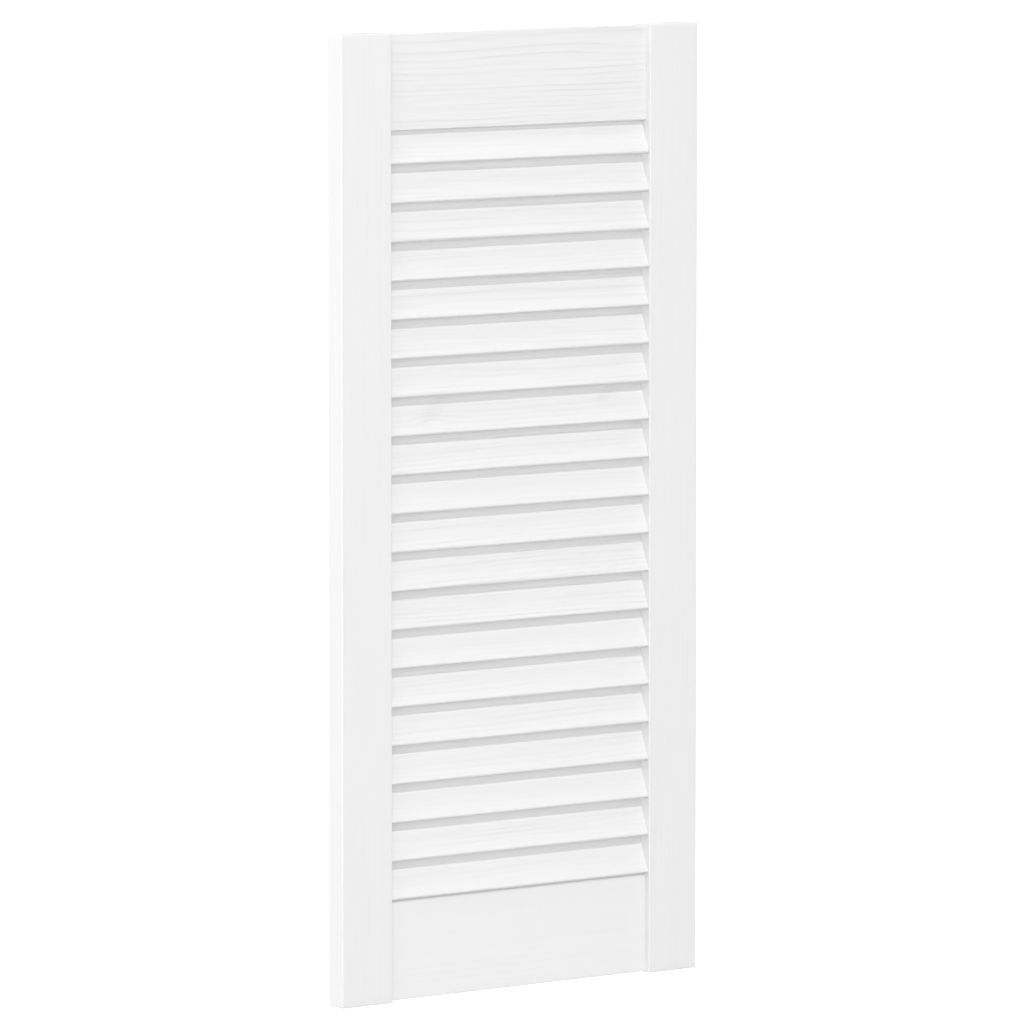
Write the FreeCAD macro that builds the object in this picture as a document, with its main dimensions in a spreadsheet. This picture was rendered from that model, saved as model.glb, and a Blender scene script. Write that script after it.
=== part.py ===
import FreeCAD, Part
import math
import os
import Sketcher

# A louvred cabinet door of painted pine: two stiles, two rails and a row of fixed slats.
# Millimetres. +X runs along the width from the hinge edge, +Z is up and the front faces -Y.
# Y = 0 is the middle of the thickness, and the origin is the foot of the hinge edge.

# Driving dimensions: name, value and what it measures
DIMENSIONS = [
    ("door_width", 394.0, "across both stiles"),
    ("door_height", 850.0, "length of a stile"),
    ("stile_width", 54.0, "seen from the front"),
    ("stile_thickness", 21.0, "the door's thickness"),
    ("stile_round", 1.0, "radius of the edges round a stile's front and back"),
    ("top_rail_height", 84.5, "seen from the front"),
    ("bottom_rail_height", 88.0, "seen from the front"),
    ("rail_thickness", 9.0, "the rails lie in the middle of the stiles"),
    ("rail_setback", 1.0, "from a stile's end to a rail's outer edge"),
    ("rail_round", 1.0, "radius of a rail's long edges"),
    ("tenon_length", 15.0, "how far a rail goes into a stile"),
    ("tenon_thickness", 5.0, "in the middle of the rail"),
    ("tenon_shoulder", 15.0, "from a rail's edge to its tenon"),
    ("slat_count", 20, "evenly spaced down the opening"),
    ("slat_width", 36.0, "along the slope of a slat"),
    ("slat_thickness", 5.5, "square to the slope"),
    ("slat_inset", 1.4, "from a slat's edges to the faces of the stiles"),
    ("slat_round", 1.75, "radius of a slat's long edges"),
    ("slat_housing", 8.0, "depth of the slots that hold the slats"),
    ("top_reveal", 28.4, "from the top rail down to the first slat's nose"),
    ("bottom_reveal", 2.3, "from the last slat's nose down to the bottom rail"),
    ("joint_clearance", 0.15, "glue room round a slat or a tenon"),
]

# Sizes that follow from the driving dimensions, worked out in the sheet.
# A slat is tilted until its two edges keep the same inset from the faces of the stiles.
FOLLOWING = [
    ("opening_width", "door_width - 2 * stile_width"),
    ("opening_top", "door_height - rail_setback - top_rail_height"),
    ("opening_bottom", "rail_setback + bottom_rail_height"),
    ("slat_depth", "stile_thickness - 2 * slat_inset"),
    ("slat_diagonal", "sqrt(slat_width ^ 2 + slat_thickness ^ 2)"),
    ("slat_tilt", "asin(slat_depth / slat_diagonal) - atan(slat_thickness / slat_width)"),
    ("slat_span", "opening_top - top_reveal - opening_bottom - bottom_reveal"),
    ("slat_pitch", "slat_span / (slat_count - 1)"),
    ("slat_length", "opening_width + 2 * (slat_housing - joint_clearance)"),
    ("nose_front", "-slat_depth / 2"),
    ("first_nose", "opening_top - top_reveal"),
    ("last_nose", "opening_bottom + bottom_reveal"),
]

FIRST_ROW = 1
FAILED_STATES = ("Invalid", "Error")
# Before its sizes are bound, a sketch's shape is this long, its corners this round and it is turned this far
DRAFT_SIZE = 10.0
DRAFT_ROUND = 2.0
DRAFT_TURN = 20.0

doc = FreeCAD.newDocument("louvred_door")
sizes = doc.addObject("Spreadsheet::Sheet", "sizes")
sizes.Label = "driving dimensions"


def fill_sheet():
    """One row a size: its name, its value or formula under an alias, and what it measures."""
    row = FIRST_ROW
    for name, value, note in DIMENSIONS:
        sizes.set(f"A{row}", name)
        sizes.set(f"B{row}", str(value))
        sizes.set(f"C{row}", note)
        sizes.setAlias(f"B{row}", name)
        row += 1
    for name, formula in FOLLOWING:
        sizes.set(f"A{row}", name)
        sizes.set(f"B{row}", "=" + formula)
        sizes.setAlias(f"B{row}", name)
        row += 1
    doc.recompute()


def origin_feature(body, role):
    """The origin plane or axis of a body that has this role."""
    return next(item for item in body.Origin.OriginFeatures if item.Role == role)


def section_sketch(body, name, across="0", up="0", along="0", turned=False):
    """A sketch square to X: its x is the door's Y and its y is Z, turned to the slats' slope if asked."""
    sketch = body.newObject("Sketcher::SketchObject", name)
    sketch.AttachmentSupport = [(origin_feature(body, "YZ_Plane"), "")]
    sketch.MapMode = "FlatFace"
    if turned:
        clockwise = FreeCAD.Rotation(FreeCAD.Vector(0, 0, -1), DRAFT_TURN)
        sketch.AttachmentOffset = FreeCAD.Placement(FreeCAD.Vector(), clockwise)
        sketch.setExpression("AttachmentOffset.Rotation.Angle", "sizes.slat_tilt")
    sketch.setExpression("AttachmentOffset.Base.x", across)
    sketch.setExpression("AttachmentOffset.Base.y", up)
    sketch.setExpression("AttachmentOffset.Base.z", along)
    return sketch


def draw_rectangle(sketch, width, height, centred):
    """A rectangle that stands on the sketch's x axis, from its y axis or centred on it."""
    far_left = -DRAFT_SIZE if centred else 0.0
    corners = [(far_left, 0.0), (DRAFT_SIZE, 0.0), (DRAFT_SIZE, DRAFT_SIZE), (far_left, DRAFT_SIZE)]
    points = [FreeCAD.Vector(x, y, 0) for x, y in corners]
    for start, end in zip(points, points[1:] + points[:1]):
        sketch.addGeometry(Part.LineSegment(start, end), False)
    bottom, right, top, left = range(4)
    for line, following in ((bottom, right), (right, top), (top, left), (left, bottom)):
        sketch.addConstraint(Sketcher.Constraint("Coincident", line, 2, following, 1))
    for line in (bottom, top):
        sketch.addConstraint(Sketcher.Constraint("Horizontal", line))
    for line in (right, left):
        sketch.addConstraint(Sketcher.Constraint("Vertical", line))
    if centred:
        sketch.addConstraint(Sketcher.Constraint("Symmetric", bottom, 1, bottom, 2, -1, 1))
    else:
        sketch.addConstraint(Sketcher.Constraint("Coincident", bottom, 1, -1, 1))
    for name, line, size in (("Width", bottom, width), ("Height", right, height)):
        index = sketch.addConstraint(Sketcher.Constraint("Distance", line, DRAFT_SIZE))
        sketch.renameConstraint(index, name)
        sketch.setExpression(f"Constraints.{name}", size)


def draw_slot_mouth(sketch, width, height, radius):
    """A rectangle with round corners, in the corner of the sketch's two axes."""
    centre = DRAFT_SIZE / 2
    half_line = centre - DRAFT_ROUND
    line_starts = [(-half_line, -centre), (centre, -half_line), (half_line, centre), (-centre, half_line)]
    line_directions = [(1, 0), (0, 1), (-1, 0), (0, -1)]
    arc_corners = [(1, -1), (1, 1), (-1, 1), (-1, -1)]
    for (x, y), (along_x, along_y) in zip(line_starts, line_directions):
        start = FreeCAD.Vector(centre + x, centre + y, 0)
        run = FreeCAD.Vector(along_x, along_y, 0) * (2 * half_line)
        sketch.addGeometry(Part.LineSegment(start, start + run), False)
    upright = FreeCAD.Vector(0, 0, 1)
    for quarter, (x, y) in enumerate(arc_corners):
        arc_centre = FreeCAD.Vector(centre + x * half_line, centre + y * half_line, 0)
        circle = Part.Circle(arc_centre, upright, DRAFT_ROUND)
        first_angle = (quarter - 1) * math.pi / 2
        sketch.addGeometry(Part.ArcOfCircle(circle, first_angle, first_angle + math.pi / 2), False)

    bottom, right, top, left = lines = range(4)
    arcs = range(4, 8)
    for line, arc, following in zip(lines, arcs, (right, top, left, bottom)):
        sketch.addConstraint(Sketcher.Constraint("Tangent", line, 2, arc, 1))
        sketch.addConstraint(Sketcher.Constraint("Tangent", arc, 2, following, 1))
    for line in (bottom, top):
        sketch.addConstraint(Sketcher.Constraint("Horizontal", line))
    for line in (right, left):
        sketch.addConstraint(Sketcher.Constraint("Vertical", line))
    for arc in arcs[1:]:
        sketch.addConstraint(Sketcher.Constraint("Equal", arcs[0], arc))
    sketch.addConstraint(Sketcher.Constraint("PointOnObject", bottom, 1, -1))
    sketch.addConstraint(Sketcher.Constraint("PointOnObject", left, 1, -2))
    bound = (
        ("Width", Sketcher.Constraint("DistanceX", left, 1, right, 1, DRAFT_SIZE), width),
        ("Height", Sketcher.Constraint("DistanceY", bottom, 1, top, 1, DRAFT_SIZE), height),
        ("Round", Sketcher.Constraint("Radius", arcs[0], DRAFT_ROUND), radius),
    )
    for name, constraint, size in bound:
        index = sketch.addConstraint(constraint)
        sketch.renameConstraint(index, name)
        sketch.setExpression(f"Constraints.{name}", size)


def pad(body, sketch, name, length, symmetric=False):
    """Wood as long as this, from the sketch along its normal or to both sides of it."""
    feature = body.newObject("PartDesign::Pad", name)
    feature.Profile = sketch
    feature.SideType = "Symmetric" if symmetric else "One side"
    feature.setExpression("Length", length)
    doc.recompute()
    return feature


def pocket(body, sketch, name, depth, towards_x):
    """A blind cut from the sketch, towards +X or -X."""
    volume_before = body.Shape.Volume
    feature = body.newObject("PartDesign::Pocket", name)
    feature.Profile = sketch
    feature.Reversed = towards_x
    feature.setExpression("Length", depth)
    doc.recompute()
    if not body.Shape.Volume < volume_before:
        raise RuntimeError(f"{body.Label}: {name} cuts nothing")
    return feature


def long_edges(feature, direction, keep):
    """Names of a feature's straight edges along this direction whose middles pass the test."""
    names = []
    for number, edge in enumerate(feature.Shape.Edges, start=1):
        start, end = (vertex.Point for vertex in edge.Vertexes)
        lies_along = (end - start).isParallel(direction, FreeCAD.Base.Precision.angular())
        if lies_along and keep((start + end) / 2):
            names.append(f"Edge{number}")
    return names


def round_edges(body, feature, name, edges, radius):
    """The named edges of a feature, rounded."""
    fillet = body.newObject("PartDesign::Fillet", name)
    fillet.Base = (feature, edges)
    fillet.setExpression("Radius", radius)
    doc.recompute()
    return fillet


def make_stile(label, left_edge, inner_face, cuts_towards_x):
    """An upright, rounded round its front and back, with a mortise for each rail and a slot for each slat."""
    body = doc.addObject("PartDesign::Body", label)
    body.setExpression("Placement.Base.x", left_edge)
    plan = body.newObject("Sketcher::SketchObject", "plan")
    plan.AttachmentSupport = [(origin_feature(body, "XY_Plane"), "")]
    plan.MapMode = "FlatFace"
    plan.setExpression("AttachmentOffset.Base.x", "sizes.stile_width / 2")
    plan.setExpression("AttachmentOffset.Base.y", "-sizes.stile_thickness / 2")
    draw_rectangle(plan, "sizes.stile_width", "sizes.stile_thickness", centred=True)
    board = pad(body, plan, "board", "sizes.door_height")
    uprights = long_edges(board, FreeCAD.Vector(0, 0, 1), lambda middle: True)
    level = long_edges(board, FreeCAD.Vector(1, 0, 0), lambda middle: True)
    round_edges(body, board, "rounded_edges", uprights + level, "sizes.stile_round")

    mortise_depth = "sizes.tenon_length + sizes.joint_clearance"
    for rail, rail_foot in (("top", "sizes.opening_top"), ("bottom", "sizes.rail_setback")):
        foot = f"{rail_foot} + sizes.tenon_shoulder - sizes.joint_clearance"
        mouth = section_sketch(body, f"{rail}_mortise_mouth", up=foot, along=inner_face)
        tall = f"sizes.{rail}_rail_height - 2 * sizes.tenon_shoulder + 2 * sizes.joint_clearance"
        draw_rectangle(mouth, "sizes.tenon_thickness + 2 * sizes.joint_clearance", tall, centred=True)
        pocket(body, mouth, f"{rail}_mortise", mortise_depth, cuts_towards_x)

    # Before rounding, the lowest slot's corner lies one clearance outside the slat's, both ways
    forward = "sizes.joint_clearance * (cos(sizes.slat_tilt) + sin(sizes.slat_tilt))"
    down = "sizes.joint_clearance * (cos(sizes.slat_tilt) - sin(sizes.slat_tilt))"
    mouth = section_sketch(
        body,
        "slot_mouth",
        across=f"sizes.nose_front - {forward}",
        up=f"sizes.last_nose - {down}",
        along=inner_face,
        turned=True,
    )
    slot_thickness = "sizes.slat_thickness + 2 * sizes.joint_clearance"
    slot_width = "sizes.slat_width + 2 * sizes.joint_clearance"
    draw_slot_mouth(mouth, slot_thickness, slot_width, "sizes.slat_round + sizes.joint_clearance")
    slot = pocket(body, mouth, "slot", "sizes.slat_housing", cuts_towards_x)

    volume_before = body.Shape.Volume
    row = body.newObject("PartDesign::LinearPattern", "slot_row")
    row.Originals = [slot]
    row.Direction = (origin_feature(body, "Z_Axis"), [""])
    row.setExpression("Length", "sizes.slat_span")
    row.setExpression("Occurrences", "sizes.slat_count")
    body.Tip = row
    doc.recompute()
    if not body.Shape.Volume < volume_before:
        raise RuntimeError(f"{label}: the row of slots cuts nothing")
    return body


def make_rail(label, rail_height, foot, first_slat_behind):
    """A cross-piece with a stub tenon at each end, bevelled at the top one where the first slat passes it."""
    body = doc.addObject("PartDesign::Body", label)
    body.setExpression("Placement.Base.x", "sizes.door_width / 2")
    body.setExpression("Placement.Base.z", foot)
    section = section_sketch(body, "section")
    draw_rectangle(section, "sizes.rail_thickness", rail_height, centred=True)
    board = pad(body, section, "board", "sizes.opening_width", symmetric=True)
    middle_height = board.Shape.BoundBox.Center.z

    def stays(middle):
        """Every long edge stays but the back one at the foot, where the bevel is."""
        at_back_foot = middle.y > 0 and middle.z < middle_height
        return not (first_slat_behind and at_back_foot)

    lengthwise = long_edges(board, FreeCAD.Vector(1, 0, 0), stays)
    round_edges(body, board, "rounded_edges", lengthwise, "sizes.rail_round")

    if first_slat_behind:
        # Everything behind a plane one clearance in front of the first slat's upper face
        forward = "sizes.joint_clearance * cos(sizes.slat_tilt)"
        up = "sizes.joint_clearance * sin(sizes.slat_tilt)"
        behind = section_sketch(
            body,
            "behind_first_slat",
            across=f"sizes.nose_front - {forward}",
            up=f"{up} - sizes.top_reveal",
            turned=True,
        )
        draw_rectangle(behind, "sizes.stile_thickness", "2 * sizes.slat_width", centred=False)
        bevel = body.newObject("PartDesign::Pocket", "bevel")
        bevel.Profile = behind
        bevel.SideType = "Symmetric"
        bevel.setExpression("Length", "sizes.door_width")
        doc.recompute()

    tenon_section = section_sketch(body, "tenon_section", up="sizes.tenon_shoulder")
    tenon_height = f"{rail_height} - 2 * sizes.tenon_shoulder"
    draw_rectangle(tenon_section, "sizes.tenon_thickness", tenon_height, centred=True)
    pad(body, tenon_section, "tenons", "sizes.opening_width + 2 * sizes.tenon_length", symmetric=True)
    return body


def make_slat(label, places_below_first):
    """A flat slat with rounded long edges, its nose low at the front and both ends in the stiles."""
    body = doc.addObject("PartDesign::Body", label)
    backwards = FreeCAD.Rotation(FreeCAD.Vector(-1, 0, 0), DRAFT_TURN)
    body.Placement = FreeCAD.Placement(FreeCAD.Vector(), backwards)
    body.setExpression("Placement.Rotation.Angle", "sizes.slat_tilt")
    body.setExpression("Placement.Base.x", "sizes.stile_width - sizes.slat_housing + sizes.joint_clearance")
    body.setExpression("Placement.Base.y", "sizes.nose_front")
    body.setExpression("Placement.Base.z", f"sizes.first_nose - {places_below_first} * sizes.slat_pitch")
    section = section_sketch(body, "section")
    draw_rectangle(section, "sizes.slat_thickness", "sizes.slat_width", centred=False)
    board = pad(body, section, "board", "sizes.slat_length")
    lengthwise = long_edges(board, FreeCAD.Vector(1, 0, 0), lambda middle: True)
    round_edges(body, board, "rounded_edges", lengthwise, "sizes.slat_round")
    return body


def check_and_write(pieces):
    """Every object of the document is sound, and then each piece goes to its own file."""
    doc.recompute()
    for item in doc.Objects:
        if any(word in item.State for word in FAILED_STATES):
            raise RuntimeError(f"{item.Label} failed: {item.State}")
    for body in pieces:
        if body.Shape.isNull() or not body.Shape.isValid() or len(body.Shape.Solids) != 1:
            raise RuntimeError(f"{body.Label} is not one sound solid")
    os.makedirs("parts", exist_ok=True)
    for body in pieces:
        body.Shape.exportStep(f"parts/{body.Label}.step")


fill_sheet()
pieces = [
    make_stile("left_stile", "0", "sizes.stile_width", cuts_towards_x=False),
    make_stile("right_stile", "sizes.door_width - sizes.stile_width", "0", cuts_towards_x=True),
    make_rail("top_rail", "sizes.top_rail_height", "sizes.opening_top", first_slat_behind=True),
    make_rail("bottom_rail", "sizes.bottom_rail_height", "sizes.rail_setback", first_slat_behind=False),
]
for place in range(int(sizes.slat_count)):
    pieces.append(make_slat(f"louvre_{place + 1:02d}", place))
check_and_write(pieces)
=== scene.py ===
"""Looks of a white-painted pine louvred cabinet door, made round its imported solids. Units are metres."""
import math
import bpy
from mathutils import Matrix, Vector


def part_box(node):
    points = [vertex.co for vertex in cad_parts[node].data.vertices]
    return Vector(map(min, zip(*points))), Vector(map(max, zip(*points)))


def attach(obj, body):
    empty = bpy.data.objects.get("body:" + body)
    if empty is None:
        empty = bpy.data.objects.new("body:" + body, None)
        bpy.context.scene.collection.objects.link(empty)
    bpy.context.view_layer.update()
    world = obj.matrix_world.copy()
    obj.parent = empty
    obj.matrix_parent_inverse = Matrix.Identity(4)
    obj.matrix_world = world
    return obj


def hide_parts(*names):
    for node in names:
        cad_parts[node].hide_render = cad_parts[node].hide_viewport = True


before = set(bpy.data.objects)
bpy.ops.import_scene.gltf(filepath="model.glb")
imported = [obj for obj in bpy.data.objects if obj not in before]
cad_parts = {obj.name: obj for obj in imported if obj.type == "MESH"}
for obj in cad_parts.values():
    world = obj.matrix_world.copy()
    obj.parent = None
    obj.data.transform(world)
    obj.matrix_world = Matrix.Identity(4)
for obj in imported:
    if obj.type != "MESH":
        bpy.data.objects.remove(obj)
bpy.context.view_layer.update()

import zlib

import bpy
import numpy as np
from bpy.props import FloatProperty, FloatVectorProperty, PointerProperty
from mathutils import Vector

bl_info = {
    "name": "Louvred Door",
    "version": (1, 0, 0),
    "blender": (4, 5, 0),
    "location": "3D View > Sidebar > Louvred Door",
    "description": "Makes the painted stiles, rails and slats of a louvred door, and a plain stage for it",
    "category": "Object",
}

# The solids as they were packed
LEFT_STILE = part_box("left_stile")
RIGHT_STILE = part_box("right_stile")
LOUVRE_NODES = sorted(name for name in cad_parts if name.startswith("louvre_"))
DOOR_THICKNESS = LEFT_STILE[1].y - LEFT_STILE[0].y
BODY = "root"

# What each point of a board holds: its place in the tree (along the trunk, then across and through from the
# pith), its place beside the nearest knot (along and across in knot sizes, then that size), grain and tone
TREE_PLACE = "tree_place"
KNOT_PLACE = "knot_place"
GRAIN = "grain"
TONE = "tone"

# Knots that show through the paint: the board, the place along and across it from its middle, and the size
KNOTS = (
    ("louvre_08", -0.0937, 0.0012, 0.0055),
    ("louvre_08", 0.1030, 0.0090, 0.0040),
)

# The place and size of a knot that is too far away to show, for a board without knots
NO_KNOT = (10.0, 0.0, 0.001)

# How a board lay in its tree: distance from the pith, angle round it, slant of the grain, place up the trunk
PITH_DISTANCE = (0.05, 0.11)
PITH_ANGLE = (-0.9, 0.9)
SLANT = (-0.02, 0.02)
TRUNK_PLACE = (0.0, 20.0)

# How strongly the grain stands out on a board, and how far its paint goes from the light to the shaded colour
STILE_GRAIN = 0.45
RAIL_GRAIN = {"top_rail": 1.4, "bottom_rail": 0.35}
SLAT_GRAIN = (0.4, 1.7)
USUAL_TONE = 0.30
# Set one by one for the rails: the bottom rail's paint is lighter than the other boards', the top rail's a
# little lighter
RAIL_TONE = {"top_rail": 0.26, "bottom_rail": 0.10}

# How much ridges, fibres and the hollow round a knot count in the height of the paint
RIDGE_HEIGHT = 0.8
FIBRE_HEIGHT = 0.6
RIM_HOLLOW = 0.3

# How much ridges, fibres, clouds and knots count in its shade, and fibres in its roughness; the ridges'
# darkening is partly the late wood showing through and partly painted shade of the ridges' relief
RIDGE_GRAIN_AND_PAINTED_SHADE = 0.3
FIBRE_SHADE = 0.6
CLOUD_SHADE = 0.2
CORE_SHADE = 0.4
RIM_SHADE = 0.15
FIBRE_ROUGHNESS = 0.08

# Steps round an edge of a slat or its slot, and the share of the sanding that a planed slat gets
SLAT_ARC_STEPS = 6
SLAT_SANDING = 0.4


class DoorShape(bpy.types.PropertyGroup):
    """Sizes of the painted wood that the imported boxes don't give."""

    slat_width: FloatProperty(
        name="Slat width", description="Width of a slat along its slope", default=0.036, unit="LENGTH"
    )
    slat_thickness: FloatProperty(
        name="Slat thickness", description="Thickness of a slat", default=0.0055, unit="LENGTH"
    )
    slat_inset: FloatProperty(
        name="Slat inset", description="From a slat's edges to the faces of the stiles", default=0.0014,
        unit="LENGTH"
    )
    slat_round: FloatProperty(
        name="Slat rounding", description="Radius of a slat's long edges", default=0.00175, unit="LENGTH"
    )
    stile_round: FloatProperty(
        name="Stile rounding", description="Radius of a stile's edges", default=0.001, unit="LENGTH"
    )
    rail_round: FloatProperty(
        name="Rail rounding", description="Radius of a rail's long edges", default=0.001, unit="LENGTH"
    )
    end_easing: FloatProperty(
        name="End easing", description="Radius that sandpaper leaves at a slat's sawn end", default=0.0005,
        unit="LENGTH"
    )
    slot_gap: FloatProperty(
        name="Slot gap", description="Dark line between a slat and its slot", default=0.0002, unit="LENGTH"
    )
    sanding: FloatProperty(
        name="Sanding", description="Share by which a rounded edge swells and thins", default=0.14,
        min=0.0, max=0.5
    )


class PaintLooks(bpy.types.PropertyGroup):
    """Colour and surface of the paint and of the pine that shows through it."""

    colour: FloatVectorProperty(
        name="Paint", description="White paint", subtype="COLOR", size=3, default=(0.83, 0.83, 0.83),
        min=0.0, max=1.0
    )
    # The darker paint that grain, knots, clouds and tone mix in, and that paints the shade along the ridges
    shaded_colour: FloatVectorProperty(
        name="Grain", description="Paint over late wood and knots", subtype="COLOR", size=3,
        default=(0.73, 0.73, 0.73), min=0.0, max=1.0
    )
    roughness: FloatProperty(
        name="Roughness", description="Roughness of the satin paint", default=0.42, min=0.0, max=1.0
    )
    relief: FloatProperty(
        name="Relief", description="Height of the grain under the paint", default=0.0002, unit="LENGTH"
    )
    ring_spacing: FloatProperty(
        name="Ring spacing", description="From one growth ring to the next", default=0.0042, unit="LENGTH"
    )


class StageLooks(bpy.types.PropertyGroup):
    """Camera, light and floor."""

    azimuth: FloatProperty(
        name="Azimuth", description="Camera to the left of the door's front", default=math.radians(37.39),
        subtype="ANGLE"
    )
    elevation: FloatProperty(
        name="Elevation", description="Camera above the door's middle", default=math.radians(5.79),
        subtype="ANGLE"
    )
    distance: FloatProperty(
        name="Distance", description="Camera to the point it looks at", default=7.819, unit="LENGTH"
    )
    lens: FloatProperty(
        name="Lens", description="Focal length on a 36 mm sensor, in millimetres", default=311.8
    )
    walls: FloatProperty(
        name="Walls", description="Brightness of the white room before the door, at eye level", default=2.30
    )
    back_corners: FloatProperty(
        name="Back corners", description="Brightness of the room to both sides behind the door", default=1.103
    )
    ceiling: FloatProperty(
        name="Ceiling", description="Brightness of the lit ceiling straight above", default=1.89
    )
    left_ceiling: FloatProperty(
        name="Left ceiling", description="Brightness of the ceiling above the left edge", default=2.994
    )
    ground: FloatProperty(
        name="Ground", description="Brightness of the room below eye level", default=0.503
    )
    key: FloatProperty(
        name="Key light", description="Strength of the far light above the front", default=1.034
    )
    front_lamp: FloatProperty(
        name="Front lamp", description="Power of the wide lamp before the left edge", default=58.7,
        unit="POWER"
    )
    near_lamp: FloatProperty(
        name="Near lamp", description="Power of the small lamp above the left edge", default=0.943,
        unit="POWER"
    )
    floor_colour: FloatVectorProperty(
        name="Floor", description="White floor", subtype="COLOR", size=3, default=(1.0, 1.0, 1.0),
        min=0.0, max=1.0
    )


def seeded(name):
    """A random generator that is the same for a piece in every run."""
    return np.random.default_rng(zlib.crc32(name.encode()))


def wander(places, random, longest, terms=5):
    """A smooth random curve of about unit height: a sum of sines, each shorter and lower than the last."""
    order = np.arange(1, terms + 1)
    phases = random.uniform(0.0, 2.0 * math.pi, terms)
    waves = np.sin(2.0 * math.pi * places[..., None] * order / longest + phases)
    return (waves / order).sum(-1)


def section_loop(corners, arc_steps=8, side_steps=4):
    """A rounded polygon as arrays: corner + radius * offset is a point of it, and outward its normal.

    At a corner between edges with normals a and b the arc's centre lies (a + b) / (1 + a.b) inside it for a
    radius of one, and the normal turns from a to b along the arc. Between arcs the points run straight, the
    first and last of them close to the arcs so that flat faces stay flat when shaded. Each row of shares says
    how much every corner's own radius counts at that point.
    """
    corners = np.asarray(corners, float)
    edges = np.roll(corners, -1, axis=0) - corners
    edges /= np.linalg.norm(edges, axis=1, keepdims=True)
    after = np.stack([edges[:, 1], -edges[:, 0]], axis=1)
    before = np.roll(after, 1, axis=0)
    share = np.linspace(0.0, 1.0, arc_steps + 1)[None, :, None]
    turn = np.arccos(np.clip((before * after).sum(1), -1.0, 1.0))[:, None, None]
    normals = before[:, None, :] * np.sin((1.0 - share) * turn) + after[:, None, :] * np.sin(share * turn)
    normals /= np.sin(turn)
    centres = -(before + after) / (1.0 + (before * after).sum(1, keepdims=True))
    offsets = centres[:, None, :] + normals
    points = np.repeat(corners[:, None, :], arc_steps + 1, axis=1)
    shares = np.repeat(np.eye(len(corners))[:, None, :], arc_steps + 1, axis=1)

    close = 0.01
    along = np.linspace(close, 1.0 - close, side_steps + 2)[None, :, None]

    def with_runs(values):
        """Values of the arcs, each arc followed by the straight run to the next one."""
        following = np.roll(values[:, :1], -1, axis=0)
        run = values[:, -1:] * (1.0 - along) + following * along
        return np.concatenate([values, run], axis=1).reshape(-1, values.shape[-1])

    return with_runs(points), with_runs(offsets), with_runs(normals), with_runs(shares)


def stations(half_length, easing, spacing=0.004, easing_steps=4):
    """Places along a board and how far its outline draws in there.

    Each end has a narrow flat rim and a quarter circle, and the outline is level between them.
    """
    rim = 0.0003
    angle = np.linspace(0.0, 0.5 * math.pi, easing_steps + 1)
    end_places = np.append(half_length, half_length - easing * (1.0 - np.cos(angle)))
    end_draws = np.append(easing + rim, easing * (1.0 - np.sin(angle)))
    count = max(2, int(round(2.0 * half_length / spacing)))
    middle = np.linspace(-end_places[-1], end_places[-1], count + 1)[1:-1]
    places = np.concatenate([-end_places, middle, end_places[::-1]])
    draws = np.concatenate([end_draws, np.zeros(len(middle)), end_draws[::-1]])
    return places, draws


def carried_board(section, radius, half_length, easing, sanding, random):
    """Grid of a rounded section carried along a straight board, and its faces.

    Point (u, v) is corner(u) + radius(u, v) * offset(u) - draw(v) * outward(u). Each edge's radius swells and
    thins along it as wander says, and stays larger than the draw, so that corners don't turn inside out.
    Returns section coordinates with the place along, then quads and end caps.
    """
    corner, offset, outward, shares = section
    places, draws = stations(half_length, easing)
    longest_wave = 0.31
    wave_height = 0.5
    least_corner = 0.0001
    waves = np.stack([wander(places, random, longest_wave) for _ in range(shares.shape[1])], axis=1)
    radii = radius * (1.0 + wave_height * sanding * waves) @ shares.T
    radii = np.maximum(radii, draws[:, None] + least_corner)
    grid = corner[None] + radii[..., None] * offset[None] - draws[:, None, None] * outward[None]
    along = np.broadcast_to(places[:, None, None], grid.shape[:2] + (1,))
    points = np.concatenate([grid, along], axis=2).reshape(-1, 3)
    return points, loft_faces(len(places), len(corner))


def loft_faces(rows, columns):
    """Quads between closed loops of points, one loop a row, and a cap at each end."""
    index = np.arange(rows * columns).reshape(rows, columns)
    right = np.roll(index, -1, axis=1)
    quads = np.stack([index[:-1], right[:-1], right[1:], index[1:]], axis=-1).reshape(-1, 4)
    return quads.tolist() + [index[0, ::-1].tolist(), index[-1].tolist()]


def placed(points, centre, first, second, along):
    """Section coordinates and places along a board, set out from its centre on three directions."""
    return np.asarray(centre) + points @ np.array([first, second, along], float)


def mark_board(mesh, node, centre, directions, grain, tone, random):
    """Writes what each point of a board holds. Directions run along the grain, across it and through."""
    count = len(mesh.vertices)
    places = np.empty(count * 3)
    mesh.vertices.foreach_get("co", places)
    places = (places.reshape(-1, 3) - np.asarray(centre)) @ np.array(directions, float).T

    knots = np.array([knot[1:] for knot in KNOTS if knot[0] == node] or [NO_KNOT])
    beside = (places[:, None, :2] - knots[None, :, :2]) / knots[None, :, 2:]
    nearest = (beside ** 2).sum(-1).argmin(1)
    beside = np.column_stack([beside[np.arange(count), nearest], knots[nearest, 2]])

    pith_distance = random.uniform(*PITH_DISTANCE)
    pith_angle = random.uniform(*PITH_ANGLE) + math.pi * random.integers(0, 2)
    slant = random.uniform(*SLANT)
    in_tree = places + slant * places[:, :1] * (0.0, 1.0, 0.0)
    in_tree += (
        random.uniform(*TRUNK_PLACE),
        pith_distance * math.cos(pith_angle),
        pith_distance * math.sin(pith_angle),
    )
    for name, values in ((TREE_PLACE, in_tree), (KNOT_PLACE, beside)):
        layer = mesh.attributes.new(name, "FLOAT_VECTOR", "POINT")
        layer.data.foreach_set("vector", values.ravel())
    for name, value in ((GRAIN, grain), (TONE, tone)):
        layer = mesh.attributes.new(name, "FLOAT", "POINT")
        layer.data.foreach_set("value", np.full(count, value))


def painted_piece(name, points, faces, material):
    """An object at the origin with this mesh and paint."""
    mesh = bpy.data.meshes.new(name)
    mesh.from_pydata(points.tolist(), [], faces)
    piece = bpy.data.objects.new(name, mesh)
    bpy.context.scene.collection.objects.link(piece)
    if material:
        mesh.materials.append(material)
    return piece


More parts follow.
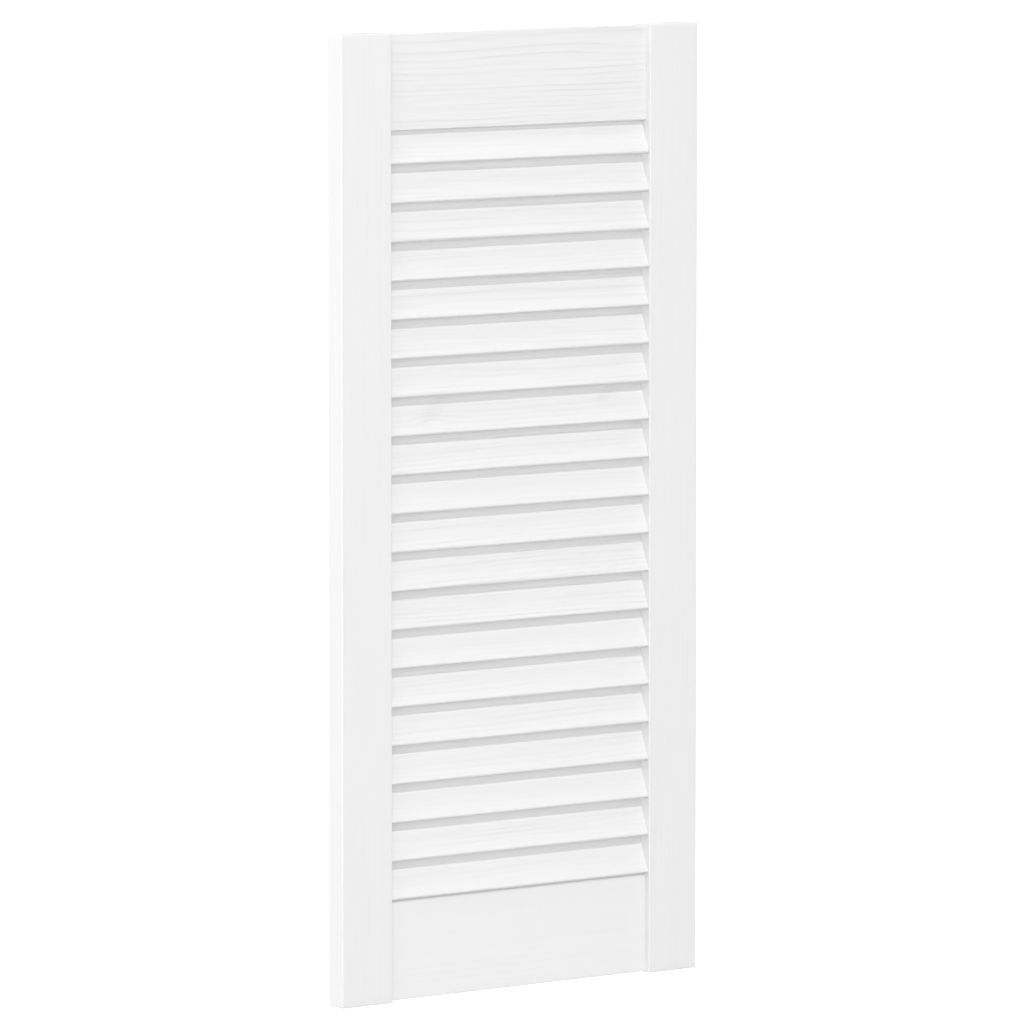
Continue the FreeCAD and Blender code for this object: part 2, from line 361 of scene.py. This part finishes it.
def smooth_shading(mesh):
    """Rounded faces are smooth, and edges that turn by more than this stay sharp."""
    sharpest_smooth_turn = math.radians(35.0)
    mesh.polygons.foreach_set("use_smooth", np.ones(len(mesh.polygons), bool))
    mesh.set_sharp_from_angle(angle=sharpest_smooth_turn)


def stand_for(piece, node):
    """The piece takes a solid's place on the door's one body."""
    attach(piece, BODY)
    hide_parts(node)


def slat_directions(shape):
    """Through a slat and up its slope: its tilt keeps both edges one inset inside the faces of the stiles."""
    diagonal = math.hypot(shape.slat_width, shape.slat_thickness)
    depth = DOOR_THICKNESS - 2.0 * shape.slat_inset
    tilt = math.asin(depth / diagonal) - math.atan(shape.slat_thickness / shape.slat_width)
    through = np.array([0.0, math.cos(tilt), -math.sin(tilt)])
    slope = np.array([0.0, math.sin(tilt), math.cos(tilt)])
    return through, slope


def rectangle(half_width, half_height):
    """Corners of an upright rectangle round the origin, the way that a section runs."""
    return [
        (-half_width, -half_height),
        (half_width, -half_height),
        (half_width, half_height),
        (-half_width, half_height),
    ]


class Signal:
    """One value in a material's nodes. Arithmetic on it adds the Math nodes that work it out."""

    def __init__(self, finish, socket):
        self.finish = finish
        self.socket = socket

    def math(self, operation, first, second):
        return self.finish.node("ShaderNodeMath", {"operation": operation}, {0: first, 1: second})

    def __add__(self, other):
        return self.math("ADD", self, other)

    def __radd__(self, other):
        return self.math("ADD", other, self)

    def __sub__(self, other):
        return self.math("SUBTRACT", self, other)

    def __rsub__(self, other):
        return self.math("SUBTRACT", other, self)

    def __mul__(self, other):
        return self.math("MULTIPLY", self, other)

    def __rmul__(self, other):
        return self.math("MULTIPLY", other, self)

    def __truediv__(self, other):
        return self.math("DIVIDE", self, other)

    def __rtruediv__(self, other):
        return self.math("DIVIDE", other, self)

    def __pow__(self, other):
        return self.math("POWER", self, other)

    def __rpow__(self, other):
        return self.math("POWER", other, self)

    def __mod__(self, other):
        return self.math("FLOORED_MODULO", self, other)

    def __abs__(self):
        return self.math("ABSOLUTE", self, 0.0)

    def output(self, name):
        """Another output of the same node."""
        return Signal(self.finish, self.socket.node.outputs[name])


class Finish:
    """The nodes of one material or world."""

    def __init__(self, owner):
        owner.use_nodes = True
        self.tree = owner.node_tree
        self.tree.nodes.clear()

    def node(self, kind, settings, inputs, output=0):
        """A node of this kind: its settings first, then the values or links of its sockets."""
        made = self.tree.nodes.new(kind)
        for name, value in settings.items():
            setattr(made, name, value)
        for name, value in inputs.items():
            if isinstance(value, Signal):
                self.tree.links.new(value.socket, made.inputs[name])
            else:
                made.inputs[name].default_value = value
        return Signal(self, made.outputs[output]) if made.outputs else None


def paint_colour(colour):
    """A colour with its opacity."""
    return (*colour, 1.0)


def board_value(finish, name, output):
    """What the points of a board hold under this name."""
    return finish.node("ShaderNodeAttribute", {"attribute_name": name}, {}, output=output)


def streaks(finish, place, along, across, detail):
    """Noise from 0 to 1 drawn out along the grain: waves per metre along and across it."""
    vector = finish.node(
        "ShaderNodeVectorMath", {"operation": "MULTIPLY"}, {0: place, 1: (along, across, across)}
    )
    return finish.node("ShaderNodeTexNoise", {}, {"Vector": vector, "Scale": 1.0, "Detail": detail})


def ramp(finish, value, low, high):
    """0 at low, 1 at high and straight between them."""
    steepness = 1.0 / (high - low)
    return finish.node(
        "ShaderNodeMath",
        {"operation": "MULTIPLY_ADD", "use_clamp": True},
        {0: value, 1: steepness, 2: -low * steepness},
    )


def knot_shapes(finish, place):
    """A knot's core, its rim, and how far the rings give way round it.

    With r as the distance in knot sizes, drawn out along a slant and made uneven by blotches, the core is e
    to the minus r squared, and the rim peaks where r is one. Rings pass a knot as water passes a stone: each
    point is drawn back towards the knot's own line.
    """
    lean = 0.5
    drawn_out = 0.25
    least_blotch = 0.2
    blotch_height = 1.6
    rim_sharpness = 2.0
    give_along = 0.12
    give_across = 0.35
    parts = finish.node("ShaderNodeSeparateXYZ", {}, {"Vector": board_value(finish, KNOT_PLACE, "Vector")})
    along, across, size = parts.output("X"), parts.output("Y"), parts.output("Z")
    leaning = across - lean * along
    blotches = streaks(finish, place, along=150.0, across=300.0, detail=2.0)
    square = (drawn_out * along * along + leaning * leaning) * (least_blotch + blotch_height * blotches)
    core = math.e ** (-1.0 * square)
    rim = (square * math.e ** (1.0 - square)) ** rim_sharpness
    give = across * size * math.e ** (-give_along * along * along - give_across * across * across)
    return core, rim, give


def painted_pine(name, looks):
    """Satin paint on brushed pine: late wood stands up in a thin ridge at each ring, with fibres between.

    A point is so many rings from the pith, and the ridge is the third power of how near it is to the middle
    of its ring. Ridges wander along the trunk, and come and go. Knots push them aside.
    """
    rings_wandered = 3.2
    ridge_sharpness = 3.0
    middle_noise = 0.5
    material = bpy.data.materials.new(name)
    finish = Finish(material)
    place = board_value(finish, TREE_PLACE, "Vector")
    grain = board_value(finish, GRAIN, "Fac")
    tone = board_value(finish, TONE, "Fac")
    knot_core, knot_rim, knot_give = knot_shapes(finish, place)

    parts = finish.node("ShaderNodeSeparateXYZ", {}, {"Vector": place})
    across, through = parts.output("Y"), parts.output("Z")
    from_pith = (across * across + through * through) ** 0.5 - knot_give
    wandering = rings_wandered * streaks(finish, place, along=3.0, across=16.0, detail=2.0)
    ring = (from_pith / looks.ring_spacing + wandering) % 1.0
    ridge = (1.0 - abs(2.0 * ring - 1.0)) ** ridge_sharpness
    patches = streaks(finish, place, along=5.0, across=130.0, detail=2.0)
    ridge = ridge * ramp(finish, patches, low=0.38, high=0.62)
    fibres = streaks(finish, place, along=12.0, across=420.0, detail=3.0)
    clouds = streaks(finish, place, along=6.0, across=40.0, detail=2.0)

    height = grain * (RIDGE_HEIGHT * ridge + FIBRE_HEIGHT * fibres) - RIM_HOLLOW * knot_rim
    normal = finish.node("ShaderNodeBump", {}, {"Strength": 1.0, "Distance": looks.relief, "Height": height})
    # Darker paint along the ridges: partly the late wood showing through, partly painted shade of their
    # relief
    grain_and_painted_shade = grain * (RIDGE_GRAIN_AND_PAINTED_SHADE * ridge + FIBRE_SHADE * fibres - FIBRE_SHADE * middle_noise)
    shade = tone + grain_and_painted_shade + CLOUD_SHADE * clouds - CLOUD_SHADE * middle_noise
    shade = shade + CORE_SHADE * knot_core + RIM_SHADE * knot_rim
    colour = finish.node(
        "ShaderNodeMix",
        {"data_type": "RGBA"},
        {"Factor": shade, "A": paint_colour(looks.colour), "B": paint_colour(looks.shaded_colour)},
        output="Result",
    )
    roughness = looks.roughness + FIBRE_ROUGHNESS * fibres
    shader = finish.node(
        "ShaderNodeBsdfPrincipled", {}, {"Base Color": colour, "Roughness": roughness, "Normal": normal}
    )
    finish.node("ShaderNodeOutputMaterial", {}, {"Surface": shader})
    return material


class LOUVRED_DOOR_OT_stiles(bpy.types.Operator):
    """Make the two stiles, with a slanted slot for each slat in their inner edges"""

    bl_idname = "louvred_door.stiles"
    bl_label = "Make Stiles"

    def execute(self, context):
        shape = context.scene.door_shape
        material = painted_pine("stile_paint", context.scene.paint_looks)
        for node in ("left_stile", "right_stile"):
            self.make_stile(node, shape, material)
        return {"FINISHED"}

    def make_stile(self, node, shape, material):
        """A rounded section in plan, carried up the door and cut by the slots."""
        random = seeded(node)
        low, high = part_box(node)
        centre = (low + high) / 2.0
        half = (high - low) / 2.0
        section = section_loop(rectangle(half.x, half.y))
        points, faces = carried_board(
            section, shape.stile_round, half.z, shape.stile_round, shape.sanding, random
        )
        right, back, up = np.eye(3)
        piece = painted_piece(node + "_board", placed(points, centre, right, back, up), faces, material)
        self.cut_slots(piece, shape)
        mark_board(piece.data, node, centre, (up, right, back), STILE_GRAIN, USUAL_TONE, random)
        smooth_shading(piece.data)
        stand_for(piece, node)

    def cut_slots(self, piece, shape):
        """Takes the slats' ends, grown by the slot gap, out of a stile."""
        through, slope = slat_directions(shape)
        half_thickness = shape.slat_thickness / 2.0 + shape.slot_gap
        half_width = shape.slat_width / 2.0 + shape.slot_gap
        corner, offset, _, _ = section_loop(rectangle(half_thickness, half_width), SLAT_ARC_STEPS)
        outline = corner + (shape.slat_round + shape.slot_gap) * offset
        points, faces = [], []
        for node in LOUVRE_NODES:
            low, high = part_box(node)
            half_length = (high.x - low.x) / 2.0 + shape.slot_gap
            ends = [
                np.column_stack([outline, np.full(len(outline), end)]) for end in (-half_length, half_length)
            ]
            first = len(points) * len(outline)
            faces += [[first + index for index in face] for face in loft_faces(2, len(outline))]
            points += [placed(loop, (low + high) / 2.0, through, slope, (1.0, 0.0, 0.0)) for loop in ends]
        cutter = painted_piece("slot_cutter", np.concatenate(points), faces, None)
        cut = piece.modifiers.new("slots", "BOOLEAN")
        cut.operation = "DIFFERENCE"
        cut.solver = "EXACT"
        cut.object = cutter
        graph = bpy.context.evaluated_depsgraph_get()
        piece.data = bpy.data.meshes.new_from_object(piece.evaluated_get(graph))
        piece.modifiers.clear()
        bpy.data.objects.remove(cutter)


class LOUVRED_DOOR_OT_rails(bpy.types.Operator):
    """Make the top and bottom rails between the stiles"""

    bl_idname = "louvred_door.rails"
    bl_label = "Make Rails"

    def execute(self, context):
        shape = context.scene.door_shape
        material = painted_pine("rail_paint", context.scene.paint_looks)
        joint_line = 0.0002
        for node in ("top_rail", "bottom_rail"):
            random = seeded(node)
            low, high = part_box(node)
            centre = (low + high) / 2.0
            half = (high - low) / 2.0
            centre.x = (LEFT_STILE[1].x + RIGHT_STILE[0].x) / 2.0
            half.x = (RIGHT_STILE[0].x - LEFT_STILE[1].x) / 2.0
            corners = rectangle(half.y, half.z)
            if node == "top_rail":
                corners = self.bevelled(corners, centre, shape)
            section = section_loop(corners)
            points, faces = carried_board(
                section, shape.rail_round, half.x, joint_line, shape.sanding, random
            )
            right, back, up = np.eye(3)
            piece = painted_piece(node + "_board", placed(points, centre, back, up, right), faces, material)
            mark_board(
                piece.data, node, centre, (right, up, back), RAIL_GRAIN[node], RAIL_TONE[node], random
            )
            smooth_shading(piece.data)
            stand_for(piece, node)
        return {"FINISHED"}

    def bevelled(self, corners, centre, shape):
        """The top rail's section without the corner where the first slat passes behind it."""
        through, slope = slat_directions(shape)
        low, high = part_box(LOUVRE_NODES[0])
        on_slat = np.array((low + high) / 2.0) - through * (shape.slat_thickness / 2.0 + shape.slot_gap)
        on_slat = on_slat - np.array(centre)
        foot, back = corners[1][1], corners[1][0]
        at_foot = on_slat[1] + (foot - on_slat[2]) * slope[1] / slope[2]
        at_back = on_slat[2] + (back - on_slat[1]) * slope[2] / slope[1]
        return [corners[0], (at_foot, foot), (back, at_back), corners[2], corners[3]]


class LOUVRED_DOOR_OT_louvres(bpy.types.Operator):
    """Make the row of fixed slats"""

    bl_idname = "louvred_door.louvres"
    bl_label = "Make Louvres"

    def execute(self, context):
        shape = context.scene.door_shape
        material = painted_pine("louvre_paint", context.scene.paint_looks)
        through, slope = slat_directions(shape)
        section = section_loop(rectangle(shape.slat_thickness / 2.0, shape.slat_width / 2.0), SLAT_ARC_STEPS)
        along = np.array([1.0, 0.0, 0.0])
        for node in LOUVRE_NODES:
            random = seeded(node)
            low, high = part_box(node)
            centre = (low + high) / 2.0
            half_length = (high.x - low.x) / 2.0
            points, faces = carried_board(
                section, shape.slat_round, half_length, shape.end_easing, SLAT_SANDING * shape.sanding, random
            )
            points = placed(points, centre, through, slope, along)
            piece = painted_piece(node + "_slat", points, faces, material)
            grain = random.uniform(*SLAT_GRAIN)
            mark_board(piece.data, node, centre, (along, slope, through), grain, USUAL_TONE, random)
            smooth_shading(piece.data)
            stand_for(piece, node)
        return {"FINISHED"}


class LOUVRED_DOOR_OT_stage(bpy.types.Operator):
    """Make the plain floor, the soft light and the camera"""

    bl_idname = "louvred_door.stage"
    bl_label = "Make Stage"

    def execute(self, context):
        stage = context.scene.stage_looks
        self.make_floor(stage)
        self.make_light(stage)
        self.make_camera(stage)
        context.scene.view_settings.view_transform = "Standard"
        return {"FINISHED"}

    def make_floor(self, stage):
        """A wide level plane that shines white to the camera alone: it neither lights nor shades the door."""
        half = 40.0
        points = np.array([(-half, -half, 0.0), (half, -half, 0.0), (half, half, 0.0), (-half, half, 0.0)])
        material = bpy.data.materials.new("white_floor")
        finish = Finish(material)
        colour = paint_colour(stage.floor_colour)
        shader = finish.node(
            "ShaderNodeBsdfPrincipled",
            {},
            {"Base Color": colour, "Roughness": 0.9, "Emission Color": colour, "Emission Strength": 1.0},
        )
        finish.node("ShaderNodeOutputMaterial", {}, {"Surface": shader})
        floor = painted_piece("floor", points, [(0, 1, 2, 3)], material)
        floor.visible_diffuse = False
        floor.visible_glossy = False
        floor.visible_shadow = False

    def make_light(self, stage):
        """A white room, a far key light above the front and two soft lamps.

        With z as how far a direction points up, the light of the walls before the door falls off as (1 - z)
        to the fourth power upwards and much faster downwards. The ceiling's goes as z to a high power, the
        left ceiling's as a power of the share along its own direction, and the back corners' as the share
        sideways.
        """
        world = bpy.data.worlds.new("white_room")
        bpy.context.scene.world = world
        finish = Finish(world)
        direction = finish.node("ShaderNodeTexCoord", {}, {}, output="Generated")
        parts = finish.node("ShaderNodeSeparateXYZ", {}, {"Vector": direction})
        rightwards, backwards, upwards = parts.output("X"), parts.output("Y"), parts.output("Z")
        above = finish.node("ShaderNodeMath", {"operation": "MAXIMUM"}, {0: upwards, 1: 0.0})
        below = finish.node("ShaderNodeMath", {"operation": "LESS_THAN"}, {0: upwards, 1: 0.0})
        behind = finish.node("ShaderNodeMath", {"operation": "GREATER_THAN"}, {0: backwards, 1: 0.0})
        lean = math.radians(30.0)
        leaning = math.cos(lean) * upwards - math.sin(lean) * rightwards
        leaning = finish.node("ShaderNodeMath", {"operation": "MAXIMUM"}, {0: leaning, 1: 0.0})
        wall_fall = 4.0
        wall_fall_below = 40.0
        ceiling_fall = 30.0
        left_ceiling_fall = 12.0
        fall = wall_fall + (wall_fall_below - wall_fall) * below
        brightness = (
            stage.walls * (1.0 - behind) * (1.0 - abs(upwards)) ** fall
            + stage.back_corners * behind * abs(rightwards)
            + stage.ceiling * above ** ceiling_fall
            + stage.left_ceiling * leaning ** left_ceiling_fall
            + stage.ground * below
        )
        background = finish.node(
            "ShaderNodeBackground", {}, {"Color": (1.0, 1.0, 1.0, 1.0), "Strength": brightness}
        )
        finish.node("ShaderNodeOutputWorld", {}, {"Surface": background})

        key = bpy.data.lights.new("key", "SUN")
        key.energy = stage.key
        key.angle = math.radians(4.0)
        key_height = math.radians(46.0)
        self.place_lamp(key, Vector(), Vector((0.0, -math.cos(key_height), math.sin(key_height))))
        for name, power, size, place, shines_at in (
            ("front_lamp", stage.front_lamp, 2.5, Vector((-2.4, -3.6, 1.2)), Vector((0.2, 0.0, 0.48))),
            ("near_lamp", stage.near_lamp, 0.3, Vector((-0.5, -0.2, 1.6)), Vector((0.25, 0.0, 0.75))),
        ):
            lamp = bpy.data.lights.new(name, "AREA")
            lamp.energy = power
            lamp.size = size
            self.place_lamp(lamp, place, place - shines_at)

    def place_lamp(self, lamp, place, backwards):
        """Puts a lamp in the scene so that it shines against this direction."""
        made = bpy.data.objects.new(lamp.name, lamp)
        made.location = place
        made.rotation_euler = backwards.to_track_quat("Z", "Y").to_euler()
        made.visible_camera = False
        bpy.context.scene.collection.objects.link(made)

    def make_camera(self, stage):
        """A long lens to the left of the door and a little above it."""
        looks_at = Vector((0.1932, -0.0005, 0.4234))
        back = Vector((
            -math.sin(stage.azimuth) * math.cos(stage.elevation),
            -math.cos(stage.azimuth) * math.cos(stage.elevation),
            math.sin(stage.elevation),
        ))
        lens = bpy.data.cameras.new("camera")
        lens.sensor_width = 36.0
        lens.lens = stage.lens
        lens.clip_end = 200.0
        camera = bpy.data.objects.new("camera", lens)
        camera.location = looks_at + back * stage.distance
        camera.rotation_euler = back.to_track_quat("Z", "Y").to_euler()
        bpy.context.scene.collection.objects.link(camera)
        bpy.context.scene.camera = camera


class LOUVRED_DOOR_PT_sidebar(bpy.types.Panel):
    """Sizes, looks and the buttons that make the door"""

    bl_idname = "LOUVRED_DOOR_PT_sidebar"
    bl_label = "Louvred Door"
    bl_space_type = "VIEW_3D"
    bl_region_type = "UI"
    bl_category = "Louvred Door"

    def draw(self, context):
        for group in (context.scene.door_shape, context.scene.paint_looks, context.scene.stage_looks):
            column = self.layout.column()
            for name in group.__annotations__:
                column.prop(group, name)
        for operator in OPERATORS:
            self.layout.operator(operator.bl_idname)


OPERATORS = (LOUVRED_DOOR_OT_stiles, LOUVRED_DOOR_OT_rails, LOUVRED_DOOR_OT_louvres, LOUVRED_DOOR_OT_stage)
GROUPS = {"door_shape": DoorShape, "paint_looks": PaintLooks, "stage_looks": StageLooks}


def register():
    for listed in (*GROUPS.values(), *OPERATORS, LOUVRED_DOOR_PT_sidebar):
        bpy.utils.register_class(listed)
    for name, group in GROUPS.items():
        setattr(bpy.types.Scene, name, PointerProperty(type=group))


def unregister():
    for name in GROUPS:
        delattr(bpy.types.Scene, name)
    for listed in (LOUVRED_DOOR_PT_sidebar, *OPERATORS, *GROUPS.values()):
        bpy.utils.unregister_class(listed)


def main():
    """Makes the door and its stage."""
    register()
    bpy.ops.louvred_door.stiles()
    bpy.ops.louvred_door.rails()
    bpy.ops.louvred_door.louvres()
    bpy.ops.louvred_door.stage()


if __name__ == "__main__":
    main()
